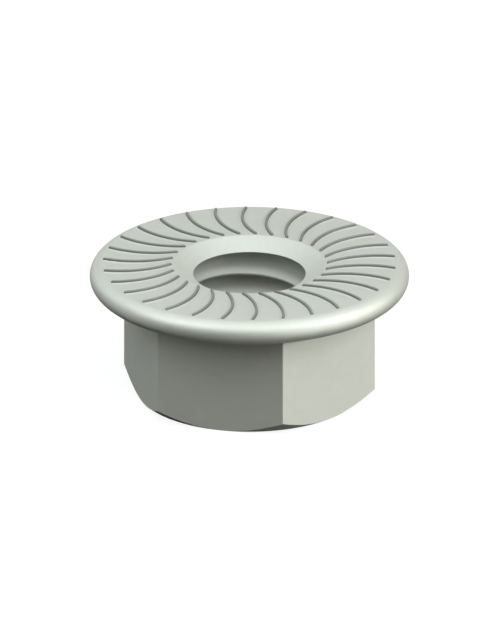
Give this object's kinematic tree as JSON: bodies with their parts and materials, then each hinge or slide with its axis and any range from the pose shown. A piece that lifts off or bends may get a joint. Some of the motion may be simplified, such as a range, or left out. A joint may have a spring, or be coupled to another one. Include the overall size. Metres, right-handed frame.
{
  "type": "serrated flange nut",
  "caption": "Hexagon nut made in one piece with a round flange, whose bearing face carries curved locking ribs around a threaded, countersunk bore.",
  "frame": {"origin": "centre of the hexagon's end face, on the thread's axis, at the lowest point of the nut", "axes": "+Z along the thread, from the hexagon's end face towards the ribbed bearing face; +X through a corner of the hexagon"},
  "size_m": [0.0142, 0.0142, 0.0061],
  "materials": {
    "plated_steel": "zinc-plated steel, pale grey with a faint green cast, satin"
  },
  "bodies": {
    "root": {"flange_nut": "plated_steel"}
  },
  "joints": []
}
